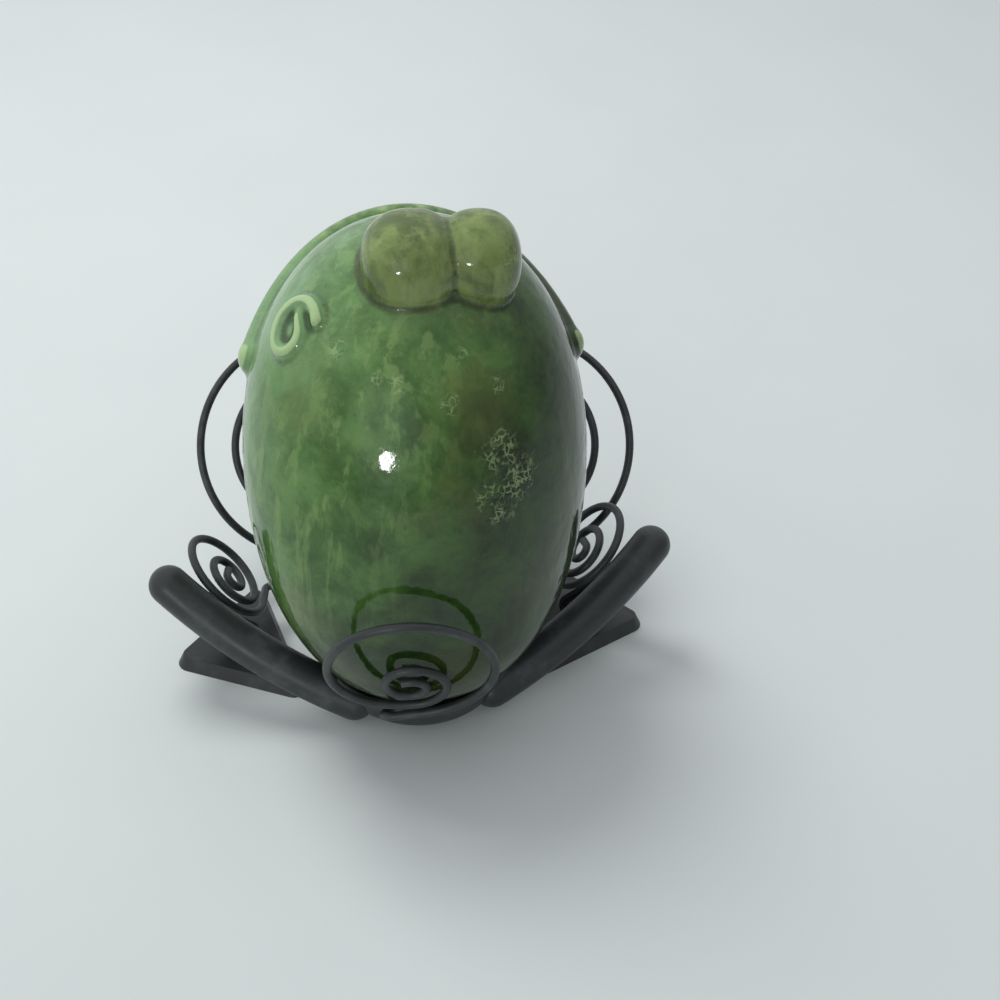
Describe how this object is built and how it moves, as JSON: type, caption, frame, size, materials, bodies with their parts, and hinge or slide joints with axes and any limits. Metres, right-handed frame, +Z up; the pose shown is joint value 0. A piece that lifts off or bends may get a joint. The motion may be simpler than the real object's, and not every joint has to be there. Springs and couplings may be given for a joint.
{
  "type": "frog figurine",
  "caption": "Egg-shaped glazed ceramic frog with round eyes and rolled lips, sitting in a black stand of folded sheet legs and wound wire petals.",
  "frame": {"origin": "on the table, under the middle of the whole ornament's outer box", "axes": "+Z up, -Y the way the frog looks, +X its left hand side"},
  "size_m": [0.1884, 0.164, 0.1882],
  "materials": {
    "green_glaze": "gloss",
    "eye_glaze": "gloss",
    "black_metal": "satin",
    "felt": "matte"
  },
  "bodies": {
    "stand": {"base_cup": "black_metal", "rear_spiral": "black_metal", "thigh_left": "black_metal", "thigh_right": "black_metal", "shank_left": "black_metal", "shank_right": "black_metal", "foot_left": "black_metal", "foot_right": "black_metal", "side_spiral_left": "black_metal", "side_spiral_right": "black_metal", "front_spiral_left": "black_metal", "front_spiral_right": "black_metal"},
    "figure": {"ceramic_body": "green_glaze", "eye_left": "eye_glaze", "eye_right": "eye_glaze", "upper_lip": "green_glaze", "lower_lip": "green_glaze", "cheek_curl": "green_glaze", "felt_pad": "felt"}
  },
  "joints": [
    {"name": "figure_lift", "type": "slide", "parent": "stand", "child": "figure", "axis": [0, 0, 1], "range_m": [0, 0.11]}
  ]
}
